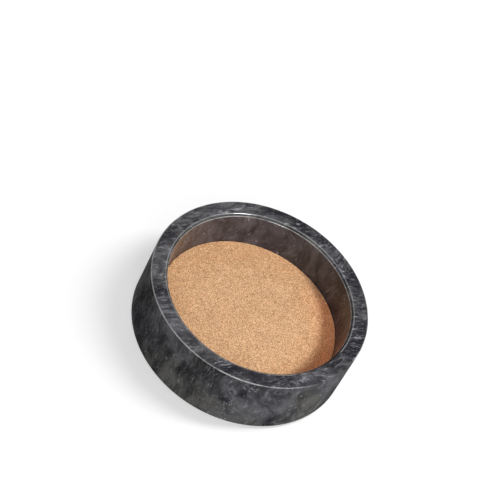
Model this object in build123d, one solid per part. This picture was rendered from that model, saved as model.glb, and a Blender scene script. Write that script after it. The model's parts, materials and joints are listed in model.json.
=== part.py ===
from build123d import *
from math import sqrt
import os

# Wine bottle coaster: a stone cup turned from one block, a cork liner on its floor and stick-on feet.
# Millimetres, +Z up. The origin is the centre of the plane that the feet stand on.

# Stone cup
outer_diameter = 127.0
stone_height = 38.8
wall_thickness = 9.8
floor_thickness = 12.7
rim_outer_radius = 0.5  # softened edge between the rim and the outside wall
rim_inner_bevel = 1.0  # leads a bottle into the recess
base_bevel = 1.0  # round the underside

# Cork liner and the glue film under it
liner_thickness = 3.0
liner_clearance = 0.3  # between the cork's edge and the stone
liner_top_bevel = 0.4  # softened upper edge of the cork
liner_film_thickness = 0.2
liner_film_inset = 2.0  # from the edge of the cork's flat underside in to the edge of the film

# Feet and the glue film over each one
foot_names = ("right", "back", "left", "front")  # anticlockwise from +X, seen from above
foot_diameter = 16.5
foot_thickness = 1.0
foot_edge_bevel = 0.3  # softened lower edge of a foot
foot_base_inset = 1.2  # from the base's bevel in to the edge of a foot
foot_film_thickness = 0.2
foot_film_inset = 0.5  # from the edge of a foot in to the edge of its film

# Radii that follow from these
outer_radius = outer_diameter / 2
recess_radius = outer_radius - wall_thickness
liner_radius = recess_radius - liner_clearance
foot_radius = foot_diameter / 2
foot_circle_radius = outer_radius - base_bevel - foot_base_inset - foot_radius

# Levels, counted up from the plane that the feet stand on
base_level = foot_thickness + foot_film_thickness
floor_level = base_level + floor_thickness
liner_level = floor_level + liner_film_thickness
liner_top_level = liner_level + liner_thickness
rim_level = base_level + stone_height

# The floor runs into the wall in an arc that ends level with the cork's top, so that the wall
# is straight wherever a bottle can reach it. The cork's lower edge is bevelled by as much as
# that arc stands out from the wall at the level of the cork's underside.
recess_corner_radius = liner_top_level - floor_level
liner_bevel = recess_corner_radius - sqrt(recess_corner_radius**2 - liner_thickness**2)
liner_film_radius = liner_radius - liner_bevel - liner_film_inset


def section(*points):
    """A closed lathe section from (radius, level) points."""
    return make_face(Polyline(*points, close=True))


def corner(face, radius, level):
    """The corner of a lathe section at this radius and level."""
    return face.vertices().sort_by_distance((radius, level))[0]


def turn(face):
    """The solid that a lathe section sweeps in one turn about the Z axis."""
    return revolve(Plane.XZ * face, axis=Axis.Z)


def disc(radius, level, top_level):
    """A plain disc between two levels."""
    return turn(section((0, level), (radius, level), (radius, top_level), (0, top_level)))


def make_stone_body():
    """The cup: a straight outside wall, a flat rim, and a straight recess with a rounded floor corner."""
    cup = section(
        (0, base_level),
        (outer_radius, base_level),
        (outer_radius, rim_level),
        (recess_radius, rim_level),
        (recess_radius, floor_level),
        (0, floor_level),
    )
    cup = chamfer(corner(cup, outer_radius, base_level), base_bevel)
    cup = fillet(corner(cup, outer_radius, rim_level), rim_outer_radius)
    cup = chamfer(corner(cup, recess_radius, rim_level), rim_inner_bevel)
    cup = fillet(corner(cup, recess_radius, floor_level), recess_corner_radius)
    return turn(cup)


def make_cork_liner():
    """The cork disc, bevelled below to clear the recess's corner and softened above."""
    cork = section(
        (0, liner_level),
        (liner_radius, liner_level),
        (liner_radius, liner_top_level),
        (0, liner_top_level),
    )
    cork = chamfer(corner(cork, liner_radius, liner_level), liner_bevel)
    cork = chamfer(corner(cork, liner_radius, liner_top_level), liner_top_bevel)
    return turn(cork)


def make_foot_pad():
    """One foot at the centre of the base, before it goes out to its place."""
    pad = section((0, 0), (foot_radius, 0), (foot_radius, foot_thickness), (0, foot_thickness))
    pad = chamfer(corner(pad, foot_radius, 0), foot_edge_bevel)
    return turn(pad)


pieces = {
    "stone_body": make_stone_body(),
    "cork_liner": make_cork_liner(),
    "liner_adhesive": disc(liner_film_radius, floor_level, liner_level),
}

foot_pad = make_foot_pad()
foot_film = disc(foot_radius - foot_film_inset, foot_thickness, base_level)
for name, place in zip(foot_names, PolarLocations(foot_circle_radius, len(foot_names))):
    pieces[f"foot_pad_{name}"] = place * foot_pad
    pieces[f"foot_adhesive_{name}"] = place * foot_film

os.makedirs("parts", exist_ok=True)
for node, piece in pieces.items():
    piece.label = node
    export_step(piece, f"parts/{node}.step")
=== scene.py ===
import json
import math

import bmesh
import bpy
from mathutils import Matrix, Vector


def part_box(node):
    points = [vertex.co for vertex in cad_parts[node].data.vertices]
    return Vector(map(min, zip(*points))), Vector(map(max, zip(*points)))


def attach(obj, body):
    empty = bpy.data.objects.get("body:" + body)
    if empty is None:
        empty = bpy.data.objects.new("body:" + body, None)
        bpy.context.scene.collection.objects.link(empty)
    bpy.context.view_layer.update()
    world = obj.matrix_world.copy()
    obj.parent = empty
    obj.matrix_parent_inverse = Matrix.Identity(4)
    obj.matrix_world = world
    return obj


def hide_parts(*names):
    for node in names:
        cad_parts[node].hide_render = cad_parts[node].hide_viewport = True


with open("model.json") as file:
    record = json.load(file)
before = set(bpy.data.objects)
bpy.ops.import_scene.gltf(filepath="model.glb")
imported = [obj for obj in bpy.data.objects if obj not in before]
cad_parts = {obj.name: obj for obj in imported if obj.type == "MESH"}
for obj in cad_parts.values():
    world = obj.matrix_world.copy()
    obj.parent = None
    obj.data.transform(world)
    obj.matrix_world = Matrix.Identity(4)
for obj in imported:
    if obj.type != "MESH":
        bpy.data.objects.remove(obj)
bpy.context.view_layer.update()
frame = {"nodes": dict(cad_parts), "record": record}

mounts = {mount["name"]: mount for mount in frame["record"]["mounts"]}
stoneLow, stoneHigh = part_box("stone_body")
corkLow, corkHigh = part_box("cork_liner")
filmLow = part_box("liner_adhesive")[0]
outerRadius = min(*stoneHigh.xy, *(-stoneLow.xy))  # the least reach of the faceted solid
recessRadius = mounts["bottle_recess"]["dims"]["r_mm"] / 1000
print("frame loaded, stone", round(outerRadius * 2000, 1), "mm across")


# Modelling helpers

faceUp = 0.9  # the least upward part of a normal that counts as looking up


def deselectAll():
    if bpy.context.object and bpy.context.object.mode != "OBJECT":
        bpy.ops.object.mode_set(mode="OBJECT")
    bpy.ops.object.select_all(action="DESELECT")


def startPiece(name):
    # takes the primitive that was just added, with its place moved into the mesh
    piece = bpy.context.object
    piece.name = name
    piece.data.name = name
    bpy.ops.object.transform_apply(location=True, rotation=True, scale=True)
    bpy.ops.object.mode_set(mode="EDIT")
    return piece


def pickFaces(test):
    mesh = bmesh.from_edit_mesh(bpy.context.edit_object.data)
    bpy.ops.mesh.select_mode(type="FACE")
    bpy.ops.mesh.select_all(action="DESELECT")
    for face in mesh.faces:
        if test(face):
            face.select_set(True)
    bmesh.update_edit_mesh(bpy.context.edit_object.data)


def pickEdges(test):
    mesh = bmesh.from_edit_mesh(bpy.context.edit_object.data)
    bpy.ops.mesh.select_mode(type="EDGE")
    bpy.ops.mesh.select_all(action="DESELECT")
    for edge in mesh.edges:
        if test(edge):
            edge.select_set(True)
    bmesh.update_edit_mesh(bpy.context.edit_object.data)


def bevelEdges(width, steps):
    bpy.ops.mesh.bevel(offset=width, segments=steps, profile=0.5, affect="EDGES", clamp_overlap=False)


def bevelRing(radius, level, width, steps=1, slack=2e-5):
    # works on the edges whose two ends lie on one circle about the axis
    def onRing(vertex):
        return abs(vertex.co.xy.length - radius) < slack and abs(vertex.co.z - level) < slack

    pickEdges(lambda edge: all(onRing(vertex) for vertex in edge.verts))
    bevelEdges(width, steps)


def extrudeTo(level, rise, grow):
    # draws the selection up or down to a level, where it is wider or narrower
    bpy.ops.mesh.extrude_region_move(TRANSFORM_OT_translate={"value": (0, 0, rise)})
    bpy.ops.transform.resize(value=(grow, grow, 1), center_override=(0, 0, level))


def finishPiece(piece, smoothAngle):
    bpy.ops.mesh.select_all(action="SELECT")
    bpy.ops.mesh.normals_make_consistent(inside=False)
    bpy.ops.object.mode_set(mode="OBJECT")
    bpy.ops.object.shade_smooth_by_angle(angle=math.radians(smoothAngle))
    return piece


def dress(piece, *materials):
    while piece.data.materials:
        piece.data.materials.pop()
    for material in materials:
        piece.data.materials.append(material)


# Stone cup

stone = {
    "segments": 320,
    "rimOuterRounding": 0.0005,
    "rimOuterSteps": 4,
    "rimInnerBevel": 0.0013,
    "arrisRounding": 0.0004,
    "lipRounding": 0.0003,
    "arrisSteps": 3,
    "baseBevel": 0.001,
    "baseSteps": 2,
    "drawIn": 0.0011,  # of the recess wall, from the rim down to the cork
    "cornerSteps": 10,
    "smoothAngle": 35,
    "wearAndGlint": {"outer": 0.55, "arris": 0.16, "lip": 0.8},  # of the ground edges, pale partly from their own wear and partly as a painted highlight
    "markReach": 1.05,  # edge widths that a mark covers
    "shadedEdgeStretch": (-46, -10),  # degrees from +X, where the rim's edges are dimmed as painted shade, with no pale colour and a duller finish
    "shadedEdgeFade": 8,  # degrees to either side of its ends
}


def wallRadius(level):
    # of the recess, which narrows a little on the way down
    return recessRadius - stone["drawIn"] * (stoneHigh.z - level) / (stoneHigh.z - corkHigh.z)


def makeStoneCup():
    rim, base, floor = stoneHigh.z, stoneLow.z, filmLow.z
    lipLevel = rim - stone["rimInnerBevel"]
    deselectAll()
    bpy.ops.mesh.primitive_cylinder_add(
        vertices=stone["segments"], radius=outerRadius, depth=rim - base, location=(0, 0, (rim + base) / 2))
    cup = startPiece("stone_cup")
    pickFaces(lambda face: face.normal.z > faceUp)
    bpy.ops.mesh.inset(thickness=outerRadius - recessRadius)
    extrudeTo(floor, floor - rim, wallRadius(floor) / recessRadius)
    # the floor's corner, which ends level with the cork, then the bevel inside the rim and its two arrises
    bevelRing(wallRadius(floor), floor, corkHigh.z - floor, stone["cornerSteps"])
    bevelRing(recessRadius, rim, stone["rimInnerBevel"])
    bevelRing(recessRadius + stone["rimInnerBevel"], rim, stone["arrisRounding"], stone["arrisSteps"])
    bevelRing(wallRadius(lipLevel), lipLevel, stone["lipRounding"], stone["arrisSteps"])
    # the outside, at the rim and at the base
    bevelRing(outerRadius, rim, stone["rimOuterRounding"], stone["rimOuterSteps"])
    bevelRing(outerRadius, base, stone["baseBevel"])
    bevelRing(outerRadius, base + stone["baseBevel"], stone["arrisRounding"], stone["baseSteps"])
    bevelRing(outerRadius - stone["baseBevel"], base, stone["arrisRounding"], stone["baseSteps"])
    finishPiece(cup, stone["smoothAngle"])
    markStone(cup)
    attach(cup, "root")
    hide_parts("stone_body")
    return cup


def edgeLitShare(face):
    # how much of its pale colour and bright finish a face on the rim's edges keeps: all of it, or none in the
    # middle of the stretch of painted shade
    turn = math.degrees(math.atan2(face.center.y, face.center.x))
    first, last = stone["shadedEdgeStretch"]
    beyond = max(first - turn, turn - last)
    return min(max(0.5 + beyond / (2 * stone["shadedEdgeFade"]), 0.0), 1.0)


def markStone(cup):
    # the finish of each face, and the marks that the marble reads: ground edge, pale partly as a painted
    # highlight, honed underside, lapped rim
    rim, lipLevel = stoneHigh.z, stoneHigh.z - stone["rimInnerBevel"]
    rounding, wearAndGlint = stone["arrisRounding"], stone["wearAndGlint"]
    satin, polished, bright = range(len(finishes))  # material slots, in the order of the finishes
    # each edge's pale colour is partly ground wear and partly a painted highlight
    edges = (
        (outerRadius, rim, stone["rimOuterRounding"], wearAndGlint["outer"], polished),
        (recessRadius + stone["rimInnerBevel"], rim, rounding, wearAndGlint["arris"], bright),
        (wallRadius(lipLevel), lipLevel, stone["lipRounding"], wearAndGlint["lip"], bright),
    )
    groundAndGlint = cup.data.attributes.new("groundEdgeAndGlint", "FLOAT", "FACE")
    honed = cup.data.attributes.new("honedFace", "FLOAT", "FACE")
    lapped = cup.data.attributes.new("lappedRim", "FLOAT", "FACE")
    for face in cup.data.polygons:
        radius, level = face.center.xy.length, face.center.z
        inside = radius < recessRadius and level < lipLevel
        honed.data[face.index].value = float(face.normal.z < -faceUp)
        lapped.data[face.index].value = float(face.normal.z > faceUp and level > rim - rounding)
        face.material_index = polished if inside else satin
        for edgeRadius, edgeLevel, width, pale, finish in edges:
            if math.hypot(radius - edgeRadius, level - edgeLevel) < stone["markReach"] * width:
                litShare = edgeLitShare(face)
                groundAndGlint.data[face.index].value = pale * litShare
                if litShare > 0.5:
                    face.material_index = finish


# Cork disc

cork = {
    "edgeVertices": 480,
    "topBevel": 0.00015,
    "lowerBevel": 0.0026,
    "clearance": 0.0001,  # to the wall
    "granule": 0.0009,
    "relief": 0.00008,
    "reliefBand": 0.0002,  # below the top, so that the upper bevel has granules too
    "smoothAngle": 60,
}


def makeCorkDisc():
    top, bottom = corkHigh.z, corkLow.z
    radius = wallRadius(top) - cork["clearance"]
    topRadius = radius - cork["topBevel"]
    deselectAll()
    bpy.ops.mesh.primitive_circle_add(vertices=cork["edgeVertices"], radius=topRadius, location=(0, 0, top))
    disc = startPiece("cork_disc")
    bpy.ops.mesh.select_all(action="SELECT")
    bpy.ops.mesh.fill_grid(span=cork["edgeVertices"] // 4)
    bpy.ops.mesh.select_all(action="SELECT")
    bpy.ops.mesh.subdivide(number_cuts=1)
    pickEdges(lambda edge: edge.is_boundary)
    # out over the small bevel, down the side and in under the large one
    steps = (
        (topRadius, radius, top - cork["topBevel"]),
        (radius, radius, bottom + cork["lowerBevel"]),
        (radius, radius - cork["lowerBevel"], bottom),
    )
    level = top
    for fromRadius, toRadius, toLevel in steps:
        extrudeTo(toLevel, toLevel - level, toRadius / fromRadius)
        level = toLevel
    bpy.ops.mesh.edge_face_add()
    finishPiece(disc, cork["smoothAngle"])
    roughen(disc, lambda vertex: vertex.co.z > top - cork["reliefBand"])
    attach(disc, "root")
    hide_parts("cork_liner")
    return disc


def roughen(disc, test):
    # a cell texture sinks the gaps between the granules
    group = disc.vertex_groups.new(name="roughened")
    group.add([vertex.index for vertex in disc.data.vertices if test(vertex)], 1.0, "REPLACE")
    grain = bpy.data.textures.new("cork_grain", "VORONOI")
    grain.noise_scale = cork["granule"]
    push = disc.modifiers.new("grain", "DISPLACE")
    push.texture = grain
    push.texture_coords = "LOCAL"
    push.vertex_group = group.name
    push.strength = -cork["relief"]
    push.mid_level = 0.0
    bpy.ops.object.modifier_apply(modifier=push.name)


# Feet

foot = {
    "vertices": 96,
    "edgeRounding": 0.0003,
    "edgeSteps": 4,
    "smoothAngle": 40,
}


def makeFeet():
    # the first is modelled, and the others are copies of it in their own places
    made = []
    for name in ("right", "back", "left", "front"):
        node = "foot_pad_" + name
        low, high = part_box(node)
        middle = (low + high) / 2
        if not made:
            pad = modelFoot(middle, high.y - middle.y, high.z - low.z)
            home = middle
        else:
            pad = made[0].copy()
            pad.data = made[0].data.copy()
            pad.data.transform(Matrix.Translation(middle - home))
            bpy.context.collection.objects.link(pad)
        pad.name = "foot_" + name
        pad.data.name = pad.name
        made.append(pad)
        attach(pad, "root")
        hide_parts(node)
    return made


def modelFoot(middle, radius, height):
    deselectAll()
    bpy.ops.mesh.primitive_cylinder_add(
        vertices=foot["vertices"], radius=radius, depth=height, location=middle)
    pad = startPiece("foot_right")
    pickEdges(lambda edge: all(vertex.co.z < middle.z for vertex in edge.verts))
    bevelEdges(foot["edgeRounding"], foot["edgeSteps"])
    return finishPiece(pad, foot["smoothAngle"])


# Material helpers

def newMaterial(name):
    material = bpy.data.materials.new(name)
    material.use_nodes = True
    return material, material.node_tree, material.node_tree.nodes["Principled BSDF"]


def addNode(tree, kind, inputs=None, **settings):
    made = tree.nodes.new("ShaderNode" + kind)
    for name, value in settings.items():
        setattr(made, name, value)
    for name, value in (inputs or {}).items():
        if isinstance(value, bpy.types.NodeSocket):
            tree.links.new(value, made.inputs[name])
        else:
            made.inputs[name].default_value = value
    return made


def opaque(colour):
    # a colour from a dictionary gets its alpha, and one from another node stays as it is
    return (*colour, 1) if isinstance(colour, tuple) else colour


def mixColour(tree, factor, low, high, blend="MIX"):
    inputs = {0: factor, 6: opaque(low), 7: opaque(high)}  # 6 and 7 are the colours of a Mix node
    return addNode(tree, "Mix", inputs, data_type="RGBA", blend_type=blend).outputs[2]


def scaled(tree, value, factor):
    # a colour or a vector
    return addNode(tree, "VectorMath", {0: value, "Scale": factor}, operation="SCALE").outputs[0]


def maths(tree, operation, first, second=0.0):
    return addNode(tree, "Math", {0: first, 1: second}, operation=operation).outputs[0]


def times(tree, first, second):
    return maths(tree, "MULTIPLY", first, second)


noiseMiddle = 0.5  # of the values that a noise gives


def spread(tree, value, low, high, toLow=0.0, toHigh=1.0, smooth=True):
    # stretches a band of values to a new range and holds it at the ends
    limits = {"Value": value, "From Min": low, "From Max": high, "To Min": toLow, "To Max": toHigh}
    kind = "SMOOTHSTEP" if smooth else "LINEAR"
    return addNode(tree, "MapRange", limits, interpolation_type=kind).outputs["Result"]


def noise(tree, vector, wave, detail=3, rough=0.55):
    # wave is the length of one wave, or of one wave along each axis
    if isinstance(wave, tuple):
        stretch = tuple(1 / length for length in wave)
        vector = addNode(tree, "Mapping", {"Vector": vector, "Scale": stretch}).outputs["Vector"]
        wave = 1.0
    inputs = {"Vector": vector, "Scale": 1 / wave, "Detail": detail, "Roughness": rough}
    return addNode(tree, "TexNoise", inputs).outputs["Fac"]


def addBump(tree, surface, height, depth):
    bump = addNode(tree, "Bump", {"Height": height, "Distance": depth})
    tree.links.new(bump.outputs["Normal"], surface.inputs["Normal"])


def objectPlace(tree, turn=(0, 0, 0), shift=(0, 0, 0)):
    place = addNode(tree, "TexCoord").outputs["Object"]
    inputs = {"Vector": place, "Rotation": tuple(math.radians(angle) for angle in turn), "Location": shift}
    return addNode(tree, "Mapping", inputs).outputs["Vector"]


# Marble

marble = {
    "grainTurn": 45,  # degrees from +X that the layers of the stone run
    "shift": (-2.992, 1.929, 2.077),  # moves the pattern through the stone
    "drift": (0.035, 0.02),  # length and reach of the slow bends in the pattern
    "ripple": (0.009, 0.0035),  # and of the quick ones
    "dark": (0.0162, 0.0159, 0.0186),
    "cloud": (0.1025, 0.102, 0.102),
    "pale": (0.36, 0.36, 0.373),
    "fleck": (0.5, 0.5, 0.51),
    "groundEdgeAndGlint": (0.5, 0.5, 0.502),
    "honed": (0.17, 0.172, 0.18),
    "smallClouds": 0.42,  # their share beside the broad ones
    "rimBunch": 0.3,  # the least strength of a bunch of wisps on the rim
    "rimLean": 0.7,  # the least lean of the rim to the second tint
    "edgeRoughness": 0.1,  # what ground and honed faces add
}

# strength on the turned walls, and on the lapped rim
shares = {
    "cloud": (1.0, 0.92),
    "wisp": (0.22, 0.8),
    "salt": (0.25, 0.4),
    "brightness": (1.0, 1.33),
}

# waves run along the grain, across it and upward, and a band of the noise is stretched to a range
patterns = {
    "broadCloud": {"wave": (0.04, 0.024, 0.045), "rough": 0.5},
    "smallCloud": {"wave": (0.011, 0.006, 0.014), "detail": 4, "rough": 0.6},
    "cloud": {"band": (0.39, 0.61)},
    "bunch": {"wave": (0.018, 0.01, 0.03), "band": (0.38, 0.62), "range": (0.12, 1.05)},
    "wisp": {"wave": (0.0054, 0.0014, 0.008), "rough": 0.62, "band": (0.53, 0.7)},
    "salt": {"wave": (0.0022, 0.0013, 0.003), "rough": 0.7, "band": (0.5, 0.78)},
    "fleck": {"wave": (0.0034, 0.0014, 0.0034), "detail": 2, "band": (0.69, 0.78)},
    "veinlet": {
        "wave": (0.02, 0.005, 0.024), "detail": 4, "rough": 0.58, "band": (0.0, 0.016), "range": (0.5, 0.0)},
    "veinletRun": {"wave": 0.006, "detail": 2, "band": (0.5, 0.62)},
    "stroke": {"wave": (0.0062, 0.0022, 0.008), "rough": 0.6, "band": (0.42, 0.55), "range": (0.75, 0.0)},
    "strokePatch": {"wave": 0.013, "detail": 2, "band": (0.36, 0.64), "range": (0.25, 1.0)},
    "seam": {"wave": (0.04, 0.009, 0.06), "band": (0.0, 0.07), "range": (0.45, 0.0)},
    "lean": {"wave": 0.03, "detail": 2, "band": (0.4, 0.6)},
    "grain": {"wave": 0.0007, "detail": 2, "band": (0.3, 0.7), "range": (0.85, 1.15), "smooth": False},
    "dust": {"wave": 0.012, "band": (0.36, 0.62), "range": (0.22, 0.6)},
    "edgeWear": {"wave": 0.006, "band": (0.3, 0.7), "range": (0.25, 1.0)},
    "gloss": {"wave": 0.02, "detail": 4, "band": (0.3, 0.7)},
}

# the grey leans to the first tint in one place and to the second in another
matt = ((1.0, 0.99, 0.94), (0.98, 0.97, 1.05))
# painted reflection: the polished recess's tints lean warm and purple for the cork seen in its wall, over the
# stone's own lean
tintsWithCorkReflection = ((1.0, 0.95, 1.03), (0.96, 0.88, 1.03))

# the turned outside is satin, the recess and the rim's outer edge have a polish, its inner edges a bright one
finishes = {
    "satin": {"shine": 0.006, "roughness": (0.5, 0.62), "bump": 0.00008, "tints": matt},
    "polished": {"shine": 0.38, "roughness": (0.2, 0.28), "bump": 0.00001, "tints": tintsWithCorkReflection},
    "arris": {"shine": 1.0, "roughness": (0.14, 0.17), "bump": 0.000005, "tints": matt},
}


def warp(tree, place, size, reach):
    # pushes the pattern about in waves
    wave = addNode(tree, "TexNoise", {"Vector": place, "Scale": 1 / size, "Detail": 1.0}).outputs["Color"]
    centred = addNode(tree, "VectorMath", {0: wave, 1: (noiseMiddle,) * 3}, operation="SUBTRACT").outputs[0]
    push = scaled(tree, centred, reach)
    return addNode(tree, "VectorMath", {0: place, 1: push}, operation="ADD").outputs[0]


def faceMark(tree, name):
    return addNode(tree, "Attribute", attribute_name=name).outputs["Fac"]


def onRim(tree, lapped, name):
    return spread(tree, lapped, 0.0, 1.0, *shares[name])


def drawn(tree, place, name):
    pattern = patterns[name]
    texture = {key: pattern[key] for key in ("wave", "detail", "rough") if key in pattern}
    return noise(tree, place, **texture)


def ridge(tree, place, name):
    # nought along the lines where the noise crosses its middle
    return maths(tree, "ABSOLUTE", maths(tree, "SUBTRACT", drawn(tree, place, name), noiseMiddle))


def banded(tree, value, name, limits=()):
    # the pattern's band, stretched to the limits or else to the pattern's own range
    pattern = patterns[name]
    limits = limits or pattern.get("range", ())
    return spread(tree, value, *pattern["band"], *limits, smooth=pattern.get("smooth", True))


def patterned(tree, place, name):
    return banded(tree, drawn(tree, place, name), name)


def cloudColour(tree, drifted, waved, lapped):
    # soft clouds, broad and small, dimmer on the lapped rim
    broad = drawn(tree, drifted, "broadCloud")
    small = drawn(tree, waved, "smallCloud")
    cloud = addNode(tree, "Mix", {0: marble["smallClouds"], 2: broad, 3: small}).outputs[0]
    mask = banded(tree, cloud, "cloud", (0.0, onRim(tree, lapped, "cloud")))
    return mixColour(tree, mask, marble["dark"], marble["cloud"])


def addPaleMarks(tree, colour, drifted, waved, lapped, salt):
    # wisps lie in upright layers, in bunches, crisp on the rim and faint on the turned walls
    bunch = patterned(tree, drifted, "bunch")
    bunch = maths(tree, "MAXIMUM", bunch, times(tree, lapped, marble["rimBunch"]))
    strength = times(tree, bunch, onRim(tree, lapped, "wisp"))
    wisps = times(tree, patterned(tree, waved, "wisp"), strength)
    colour = mixColour(tree, wisps, colour, marble["pale"])

    # salt of fine crystals, and a few white flecks
    crystals = banded(tree, salt, "salt", (0.0, onRim(tree, lapped, "salt")))
    colour = mixColour(tree, crystals, colour, marble["pale"])
    flecks = times(tree, patterned(tree, waved, "fleck"), bunch)
    colour = mixColour(tree, flecks, colour, marble["fleck"])

    # thin veinlets on the walls, which break off after a few millimetres
    lines = banded(tree, ridge(tree, drifted, "veinlet"), "veinlet")
    lines = times(tree, lines, patterned(tree, drifted, "veinletRun"))
    lines = times(tree, lines, maths(tree, "SUBTRACT", 1.0, lapped))
    return mixColour(tree, lines, colour, marble["pale"])


def addDarkMarks(tree, colour, drifted, waved, lapped):
    # strokes between the wisps, cut through at the rim, and upright seams all over
    strokes = times(tree, patterned(tree, waved, "stroke"), patterned(tree, drifted, "strokePatch"))
    colour = mixColour(tree, times(tree, strokes, lapped), colour, marble["dark"])
    seams = banded(tree, ridge(tree, waved, "seam"), "seam")
    return mixColour(tree, seams, colour, marble["dark"])


def tintStone(tree, colour, place, drifted, lapped, tints):
    # the grey leans from tint to tint, with a fine grain over it, and is paler on the lapped rim
    lean = patterned(tree, drifted, "lean")
    lean = maths(tree, "MAXIMUM", lean, times(tree, lapped, marble["rimLean"]))
    colour = mixColour(tree, 1.0, colour, mixColour(tree, lean, *tints), "MULTIPLY")
    brightness = times(tree, patterned(tree, place, "grain"), onRim(tree, lapped, "brightness"))
    return scaled(tree, colour, brightness)


def makeMarble(name):
    finish = finishes[name]
    material, tree, surface = newMaterial(name + "_marble")
    place = objectPlace(tree, turn=(0, 0, -marble["grainTurn"]), shift=marble["shift"])
    drifted = warp(tree, place, *marble["drift"])
    waved = warp(tree, drifted, *marble["ripple"])
    lapped, honed = faceMark(tree, "lappedRim"), faceMark(tree, "honedFace")
    groundAndGlint = times(tree, faceMark(tree, "groundEdgeAndGlint"), patterned(tree, place, "edgeWear"))
    salt = drawn(tree, waved, "salt")

    colour = cloudColour(tree, drifted, waved, lapped)
    colour = addPaleMarks(tree, colour, drifted, waved, lapped, salt)
    colour = addDarkMarks(tree, colour, drifted, waved, lapped)
    colour = tintStone(tree, colour, place, drifted, lapped, finish["tints"])
    dusty = mixColour(tree, patterned(tree, waved, "dust"), colour, marble["honed"])
    colour = mixColour(tree, honed, colour, dusty)
    # pale ground edges: partly the edges' own wear, partly a painted highlight along the rim
    colour = mixColour(tree, groundAndGlint, colour, marble["groundEdgeAndGlint"])
    tree.links.new(colour, surface.inputs["Base Color"])

    gloss = banded(tree, drawn(tree, place, "gloss"), "gloss", finish["roughness"])
    rougher = times(tree, maths(tree, "MAXIMUM", honed, groundAndGlint), marble["edgeRoughness"])
    tree.links.new(maths(tree, "ADD", gloss, rougher), surface.inputs["Roughness"])
    surface.inputs["Specular IOR Level"].default_value = finish["shine"]
    addBump(tree, surface, salt, finish["bump"])
    return material


# Cork, rubber and glue

corkLook = {
    "granule": 0.0003,
    "dark": (0.465, 0.213, 0.088),
    "middle": (0.735, 0.409, 0.208),
    "light": (0.93, 0.632, 0.386),
    "darkBand": (0.22, 0.5),  # of the granules, from dark to middle
    "lightBand": (0.5, 0.78),  # from middle to light
    "clump": 0.001,
    "crown": (1.02, 0.95),  # shade from the middle of a clump out to the gap beside it
    "crownBand": (0.15, 0.65),
    "bark": (0.2, 0.09, 0.042),
    "barkFrom": 0.97,  # the clumps above this are bits of bark
    "barkBand": (0.22, 0.34),
    "barkStrength": 0.85,
    # painted shade: the cork turns darker and warmer towards the wall
    "edgeShadeTone": (0.965, 0.92, 0.87),
    "edgeShadeBand": (0.026, 0.048),  # from the axis
    "patch": 0.007,
    "patchBand": (0.3, 0.7),
    "patchShade": (0.93, 1.07),
    "roughness": 0.9,
    "shine": 0.2,
    "bump": 0.00004,
}


def makeCorkLook():
    material, tree, surface = newMaterial("pressed_cork")
    place = objectPlace(tree)
    granules = addNode(tree, "TexVoronoi", {"Vector": place, "Scale": 1 / corkLook["granule"]})
    tone = addNode(tree, "SeparateColor", {"Color": granules.outputs["Color"]}).outputs[0]
    colour = mixColour(tree, spread(tree, tone, *corkLook["darkBand"]), corkLook["dark"], corkLook["middle"])
    colour = mixColour(tree, spread(tree, tone, *corkLook["lightBand"]), colour, corkLook["light"])

    # bits of bark
    clumps = addNode(tree, "TexVoronoi", {"Vector": place, "Scale": 1 / corkLook["clump"]})
    chance = addNode(tree, "SeparateColor", {"Color": clumps.outputs["Color"]}).outputs[1]
    core = spread(tree, clumps.outputs["Distance"], *corkLook["barkBand"], corkLook["barkStrength"], 0.0)
    bark = times(tree, maths(tree, "GREATER_THAN", chance, corkLook["barkFrom"]), core)
    colour = mixColour(tree, bark, colour, corkLook["bark"])

    # painted shade, deeper and warmer towards the edge by the wall; darker in the gaps between clumps, and a
    # little patchy
    flat = addNode(tree, "VectorMath", {0: place, 1: (1, 1, 0)}, operation="MULTIPLY").outputs[0]
    away = addNode(tree, "VectorMath", {0: flat}, operation="LENGTH").outputs["Value"]
    edge = mixColour(tree, spread(tree, away, *corkLook["edgeShadeBand"]), (1, 1, 1), corkLook["edgeShadeTone"])
    colour = mixColour(tree, 1.0, colour, edge, "MULTIPLY")
    crown = spread(tree, clumps.outputs["Distance"], *corkLook["crownBand"], *corkLook["crown"])
    patch = noise(tree, place, corkLook["patch"])
    shade = spread(tree, patch, *corkLook["patchBand"], *corkLook["patchShade"], smooth=False)
    colour = scaled(tree, colour, times(tree, crown, shade))
    tree.links.new(colour, surface.inputs["Base Color"])
    surface.inputs["Roughness"].default_value = corkLook["roughness"]
    surface.inputs["Specular IOR Level"].default_value = corkLook["shine"]
    addBump(tree, surface, crown, corkLook["bump"])
    return material


rubberLook = {
    "mottle": 0.0006,
    "dark": (0.03, 0.03, 0.031),
    "light": (0.05, 0.05, 0.052),
    "roughness": 0.75,
    "bump": 0.00005,
}

glueLook = {
    "mottle": 0.002,
    "dark": (0.62, 0.59, 0.5),
    "light": (0.8, 0.78, 0.7),
    "roughness": 0.4,
    "bump": 0.00003,
}


def makeMottled(name, look):
    material, tree, surface = newMaterial(name)
    mottle = noise(tree, objectPlace(tree), look["mottle"])
    colour = mixColour(tree, mottle, look["dark"], look["light"])
    tree.links.new(colour, surface.inputs["Base Color"])
    surface.inputs["Roughness"].default_value = look["roughness"]
    addBump(tree, surface, mottle, look["bump"])
    return material


# Stage

view = {
    "elevation": 49.15,  # degrees
    "roll": 29.68,
    "distance": 1.089,
    "lens": 144.1,
    "sensor": 36,
    "aimRight": 0.00085,  # from the middle of the stone's base, along the picture's sides
    "aimUp": 0.05204,
}


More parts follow.
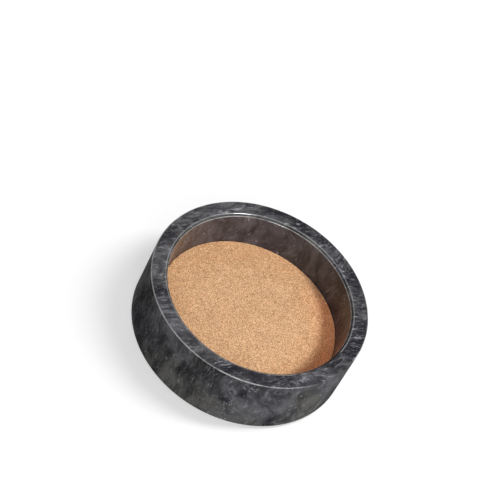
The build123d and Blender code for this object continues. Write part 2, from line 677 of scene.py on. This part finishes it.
def makeCamera():
    # looks along +Y from above, rolled about its line of sight
    lift, roll = math.radians(view["elevation"]), math.radians(view["roll"])
    back = Vector((0, -math.cos(lift), math.sin(lift)))
    across, upward = Vector((1, 0, 0)), Vector((0, math.sin(lift), math.cos(lift)))
    right = across * math.cos(roll) + upward * math.sin(roll)
    top = upward * math.cos(roll) - across * math.sin(roll)
    subject = Vector((0, 0, stoneLow.z))
    place = subject + back * view["distance"]
    aim = subject + right * view["aimRight"] + top * view["aimUp"]
    backward = (place - aim).normalized()
    right = top.cross(backward).normalized()
    top = backward.cross(right)
    bpy.ops.object.camera_add(location=place)
    camera = bpy.context.object
    camera.name = "photo_view"
    camera.matrix_world = Matrix.Translation(place) @ Matrix((right, top, backward)).transposed().to_4x4()
    camera.data.lens = view["lens"]
    camera.data.sensor_width = view["sensor"]
    bpy.context.scene.camera = camera


studio = {
    "ambient": 0.1,
    "white": (1, 1, 1, 1),
    "floorSize": 8.0,
    "floorLevel": -0.00005,  # just below the feet
    "floorColour": (0.55, 0.55, 0.55, 1),
    "floorRoughness": 0.9,
    "floorGlow": (0.51, 1.0),  # under the lamps, and beyond their reach
    "glowReach": (0.11, 0.5),  # from the axis
}


def seenRays(tree):
    # one for rays that the camera sees straight, in gloss or through glass
    path = addNode(tree, "LightPath")
    seen = maths(tree, "MAXIMUM", path.outputs["Is Camera Ray"], path.outputs["Is Glossy Ray"])
    return maths(tree, "MAXIMUM", seen, path.outputs["Is Transmission Ray"])


def makeFloor():
    # glows only for rays that are seen, so it is white and takes a shadow, and shows in gloss
    deselectAll()
    bpy.ops.mesh.primitive_plane_add(size=studio["floorSize"], location=(0, 0, studio["floorLevel"]))
    floor = bpy.context.object
    floor.name = "floor"
    material, tree, surface = newMaterial("white_floor")
    surface.inputs["Base Color"].default_value = studio["floorColour"]
    surface.inputs["Roughness"].default_value = studio["floorRoughness"]
    surface.inputs["Specular IOR Level"].default_value = 0.0
    surface.inputs["Emission Color"].default_value = studio["white"]
    away = addNode(tree, "VectorMath", {0: objectPlace(tree)}, operation="LENGTH").outputs["Value"]
    glow = spread(tree, away, *studio["glowReach"], *studio["floorGlow"])
    tree.links.new(times(tree, seenRays(tree), glow), surface.inputs["Emission Strength"])
    dress(floor, material)
    return floor


def makeSky():
    world = bpy.data.worlds.new("studio")
    bpy.context.scene.world = world
    world.use_nodes = True
    tree = world.node_tree
    sky = tree.nodes["Background"]
    sky.inputs["Color"].default_value = studio["white"]
    level = spread(tree, seenRays(tree), 0, 1, studio["ambient"], 1.0, smooth=False)
    tree.links.new(level, sky.inputs["Strength"])


# turn is from +X and lift from the floor, in degrees, and share is the light that a lamp gives a level face,
# where 1 shows a colour as it is written
lamps = {
    "key_right": {"turn": -9, "lift": 59, "distance": 0.85, "size": (0.19, 0.19), "share": 0.625},
    "key_floor": {"turn": 26, "lift": 66, "distance": 0.9, "size": (0.12, 0.55), "share": 0.62},
    "fill_front": {"turn": -85, "lift": 46, "distance": 1.5, "size": (0.9, 0.9), "share": 0.18},
    "bounce_front": {"turn": -74, "lift": 3, "distance": 1.0, "size": (0.1, 0.1), "share": 0.02},
    "fill_back": {"turn": 112, "lift": 20, "distance": 1.2, "size": (0.6, 0.6), "share": 0.045},
    "overhead": {"turn": 180, "lift": 85, "distance": 1.2, "size": (0.6, 0.6), "share": 0.065},
}

# the first lamp lights all but the floor, and the second the floor alone
floorLinks = {"key_right": "EXCLUDE", "key_floor": "INCLUDE"}

# small warm lamps over the shaded side of the cork, which light nothing else
warmth = {
    "turns": (-20, 1, 22, 42),  # degrees from +X
    "radius": 0.049,
    "height": 0.008,  # over the cork
    "size": (0.02, 0.004),
    "colour": (1.0, 0.2, 0.0),
    "power": 0.00016,
}


def lightGroup(name, piece, state):
    # a lamp with this group lights the piece alone, or all but the piece
    group = bpy.data.collections.new(name)
    group.objects.link(piece)
    group.collection_objects[0].light_linking.link_state = state
    return group


def addLamp(name, place, rotation, size, energy):
    bpy.ops.object.light_add(type="AREA", location=place, rotation=rotation)
    lamp = bpy.context.object
    lamp.name = name
    lamp.visible_camera = False
    lamp.data.shape = "ELLIPSE"
    lamp.data.size, lamp.data.size_y = size
    lamp.data.energy = energy
    return lamp


def addStudioLamp(name, floor):
    lamp = lamps[name]
    turn, lift = math.radians(lamp["turn"]), math.radians(lamp["lift"])
    toLamp = Vector((math.cos(lift) * math.cos(turn), math.cos(lift) * math.sin(turn), math.sin(lift)))
    rotation = toLamp.to_track_quat("Z", "Y").to_euler()
    energy = lamp["share"] * (math.pi * lamp["distance"]) ** 2 / math.sin(lift)
    made = addLamp(name, toLamp * lamp["distance"], rotation, lamp["size"], energy)
    if name in floorLinks:
        made.light_linking.receiver_collection = lightGroup(name, floor, floorLinks[name])


def addWarmLamps(warmed):
    lit = lightGroup("warmed", warmed, "INCLUDE")
    for turn in map(math.radians, warmth["turns"]):
        place = Vector((math.cos(turn), math.sin(turn), 0)) * warmth["radius"]
        place.z = corkHigh.z + warmth["height"]
        made = addLamp("warm_glow", place, (0, 0, turn + math.pi / 2), warmth["size"], warmth["power"])
        made.data.color = warmth["colour"]
        made.light_linking.receiver_collection = lit


cup = makeStoneCup()
dress(cup, *(makeMarble(name) for name in finishes))
print("stone cup", len(cup.data.polygons), "faces")

disc = makeCorkDisc()
dress(disc, makeCorkLook())
print("cork disc", len(disc.data.polygons), "faces")

rubber = makeMottled("foot_rubber", rubberLook)
for pad in makeFeet():
    dress(pad, rubber)
print("feet in place")

glue = makeMottled("glue_film", glueLook)
for name, node in frame["nodes"].items():
    if "adhesive" in name:
        dress(node, glue)
print("glue films dressed")

makeCamera()
floor = makeFloor()
makeSky()
for name in lamps:
    addStudioLamp(name, floor)
addWarmLamps(disc)
bpy.context.scene.view_settings.view_transform = "Standard"
print("stage set")
